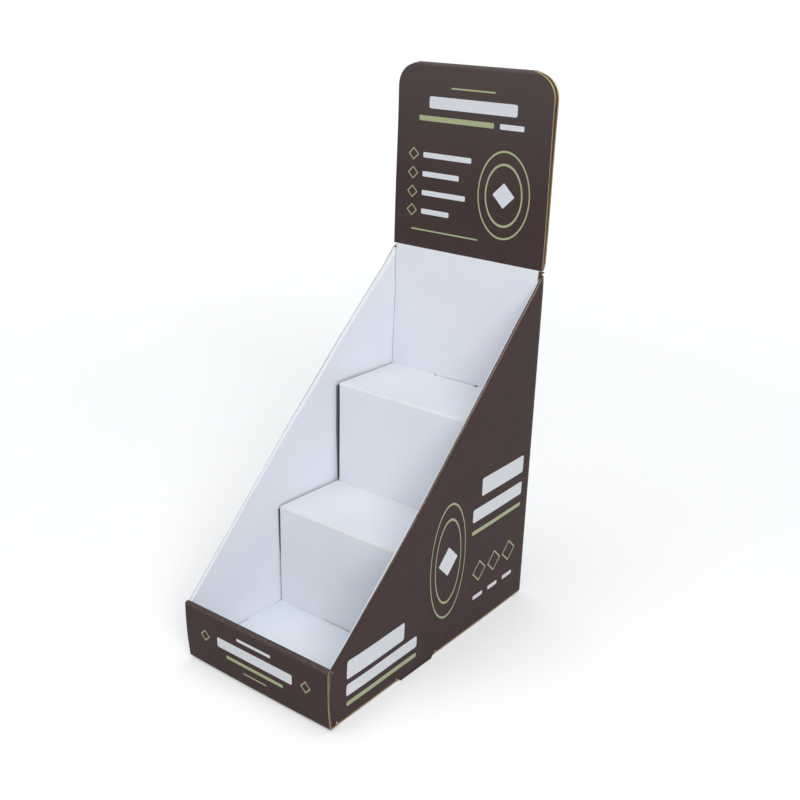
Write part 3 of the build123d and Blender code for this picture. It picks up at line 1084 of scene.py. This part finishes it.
def steps_place(a, b, w):
    """The place of the insert's flat point, on panels that swell a little between their folds."""
    sides = 1 - (a / INSERT_HALF) ** 2
    nearest = min(min(abs(b - low), abs(b - high)) for low, high in STEPS.bends)
    ends = step(0, 8, b) * step(STEPS.length, STEPS.length - 8, b)
    swell = PANEL_SWELL * ripple(a, b, 7.3, 45.0) - PANEL_HOLLOW * sides
    y, z = STEPS.at(b, w + swell * step(0.5, 14, nearest) * ends)
    if a < 0:
        a *= np.interp(b, *zip(*INSERT_LEFT)) / INSERT_HALF
    return a, y, settled(z) + eased(TREAD_LIFT, b)


def insert():
    """The white sheet of two risers and two treads, with its tab and its lug."""
    rear = TAB_END - (LINER_Y - 0.04)
    bottom = STEPS.length - (FLOOR_FOOT - BOARD)
    tab, relief = INSERT_TAB_HALF, rear + RELIEF_DEPTH
    half = [(tab, 0), (tab, relief), (RELIEF_HALF, relief), (RELIEF_HALF, rear), (INSERT_HALF, rear),
            (INSERT_HALF, bottom), (tab, bottom), (tab, STEPS.length)]
    outline = half + [(-a, b) for a, b in reversed(half)]
    cuts = bend_lines(STEPS.bends)
    ends = [0.0] + [v for bend in STEPS.bends for v in (bend[0] - 2, bend[1] + 2)] + [STEPS.length]
    for low, high in zip(ends[::2], ends[1::2]):
        cuts += spaced(low, high, 7)
    lines = [((-BEYOND, b), (BEYOND, b)) for b in cuts]
    lines += [((a, -3), (a, STEPS.length + 3)) for a in spaced(-42, 42, 8)]
    # The side edges get a brighter white strip, a painted highlight.
    glint_strips = [("rim", rect(*sorted((side * GLINT_START, side * BEYOND)), -3, STEPS.length + 3))
            for side in (-1, 1)]
    # Only the lower tread's fold is toned: a warm darker line, partly wear and partly painted shade
    # that tones down the fold's highlight.
    return build_sheet("step_sheet", outline, steps_place, INSERT_MATERIALS, glint_strips, (), lines,
                       fold_wear(STEPS.bends[2:], 0.35, 0.1))


for made, node, slot in (
    (tray_run(), "display_tray", "printed_board"),
    (side_wall(1, "tray_wall_right"), "display_tray", "printed_board"),
    (side_wall(-1, "tray_wall_left"), "display_tray", "printed_board"),
    (insert(), "step_insert", "white_board"),
):
    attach(made, "root")
    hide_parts(node)

# ---- floor, light and camera ------------------------------------------------------

bpy.ops.mesh.primitive_plane_add(size=60, location=(0, 0, -0.0002))
floor = bpy.context.object
floor.name = "floor"
# The floor glows for the camera alone, more with the distance, so it turns white and keeps a shadow.
n = Nodes("floor_white", 0.9, 0.1)
n.shader.inputs["Base Color"].default_value = (0.9, 0.9, 0.9, 1)
n.shader.inputs["Emission Color"].default_value = (1, 1, 1, 1)
away = n.put("ShaderNodeVectorMath", {0: n.place()}, operation="LENGTH").outputs["Value"]
n.into("Emission Strength", n.math("MULTIPLY", n.seen(), n.span(away, 0.2, 1.6, 0.28, 0.58, True)))
floor.data.materials.append(n.material)

world = bpy.data.worlds.new("studio")
bpy.context.scene.world = world
n = Tree(world)
background = n.tree.nodes["Background"]
background.inputs["Color"].default_value = (0.93, 0.965, 1.0, 1)
background.inputs["Strength"].default_value = 0.49
white = n.put("ShaderNodeBackground", {"Color": (1, 1, 1, 1)})
mixer = n.put("ShaderNodeMixShader", {0: n.seen(), 1: background.outputs[0], 2: white.outputs[0]})
n.tree.links.new(mixer.outputs[0], n.tree.nodes["World Output"].inputs["Surface"])

LAMP_TARGET = Vector((0, 0, 0.14))


def area_light(name, place, size, watts, colour):
    """A round soft lamp that looks at the middle of the stand."""
    data = bpy.data.lights.new(name, "AREA")
    data.shape = "DISK"
    data.size = size
    data.energy = watts
    data.color = colour
    made = bpy.data.objects.new(name, data)
    bpy.context.scene.collection.objects.link(made)
    made.location = place
    made.rotation_euler = (LAMP_TARGET - Vector(place)).to_track_quat("-Z", "Y").to_euler()


area_light("key", (1.1, -0.8, 0.96), 0.7, 10.4, (0.98, 0.99, 1.0))
area_light("fill", (-0.6, -1.1, 1.1), 1.0, 1.45, (0.98, 0.99, 1.0))
area_light("top", (-0.2, 0.0, 1.6), 0.9, 3.9, (0.97, 0.985, 1.0))

# The camera fitted to the photograph: its place in the stand's frame, its axes, and its focal
# length in pixels of a picture this wide
CAMERA_PLACE = (352.75, -349.56, 361.85)
RIGHT, DOWN, AHEAD = (0.7947, 0.6062, 0.0293), (0.2393, -0.2686, -0.933), (-0.5578, 0.7486, -0.3585)
FOCAL_PIXELS = 1086.585
PICTURE_WIDTH = 800
SENSOR = 36.0
camera = bpy.data.objects.new("camera", bpy.data.cameras.new("camera"))
bpy.context.scene.collection.objects.link(camera)
bpy.context.scene.camera = camera
columns = [Vector(RIGHT).normalized(), -Vector(DOWN).normalized(), -Vector(AHEAD).normalized()]
camera.rotation_mode = "QUATERNION"
camera.rotation_quaternion = Matrix(columns).transposed().to_quaternion()
camera.location = metres(*CAMERA_PLACE)
camera.data.sensor_width = SENSOR
camera.data.lens = SENSOR * FOCAL_PIXELS / PICTURE_WIDTH
camera.data.clip_start = 0.01
camera.data.clip_end = 100.0

bpy.context.scene.view_settings.view_transform = "Standard"
